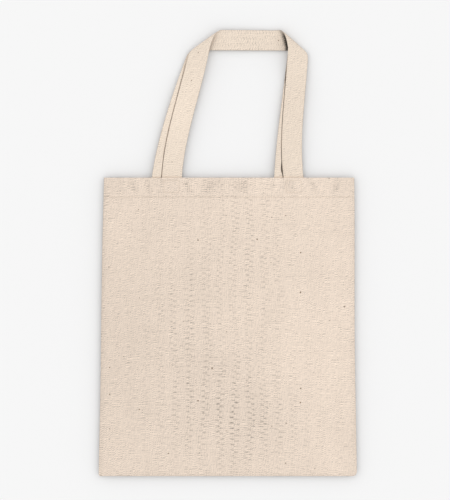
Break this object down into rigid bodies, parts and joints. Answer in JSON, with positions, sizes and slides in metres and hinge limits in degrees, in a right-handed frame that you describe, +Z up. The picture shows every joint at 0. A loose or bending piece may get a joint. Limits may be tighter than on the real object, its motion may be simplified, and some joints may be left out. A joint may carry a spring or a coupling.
{
  "type": "canvas tote bag",
  "caption": "Plain natural canvas tote bag lying flat, with an opening mouth and webbing handles that swing at the hem.",
  "frame": {"origin": "on the surface that the bag lies on, under the middle of the whole bag with its handles laid out", "axes": "+Z up from that surface, +Y from the bottom seam towards the handles, +X to the right of someone who looks at the front panel"},
  "size_m": [0.3658, 0.6324, 0.0082],
  "materials": {
    "canvas": "unbleached plain-weave cotton canvas, matt",
    "webbing": "unbleached ribbed cotton webbing, matt",
    "thread": "natural cotton sewing thread, matt"
  },
  "bodies": {
    "back_panel": {"back_panel": "canvas", "back_handle_left_end": "webbing", "back_handle_right_end": "webbing", "back_hem_thread": "thread", "back_left_tack_thread": "thread", "back_right_tack_thread": "thread", "left_seam_thread": "thread", "right_seam_thread": "thread", "bottom_seam_thread": "thread", "left_overlock_thread": "thread", "right_overlock_thread": "thread", "bottom_overlock_thread": "thread"},
    "front_panel": {"front_panel": "canvas", "front_handle_left_end": "webbing", "front_handle_right_end": "webbing", "front_hem_thread": "thread", "front_left_tack_thread": "thread", "front_right_tack_thread": "thread"},
    "front_handle": {"front_handle": "webbing"},
    "back_handle": {"back_handle": "webbing"}
  },
  "joints": [
    {"name": "mouth_open", "type": "hinge", "parent": "back_panel", "child": "front_panel", "pos_m": [0, -0.31625, 0.00195], "axis": [1, 0, 0], "range_deg": [0, 12]},
    {"name": "front_handle_swing", "type": "hinge", "parent": "front_panel", "child": "front_handle", "pos_m": [0, 0.10675, 0.0082], "axis": [1, 0, 0], "range_deg": [0, 175]},
    {"name": "back_handle_swing", "type": "hinge", "parent": "back_panel", "child": "back_handle", "pos_m": [0, 0.10675, 0], "axis": [1, 0, 0], "range_deg": [-175, 0]}
  ]
}
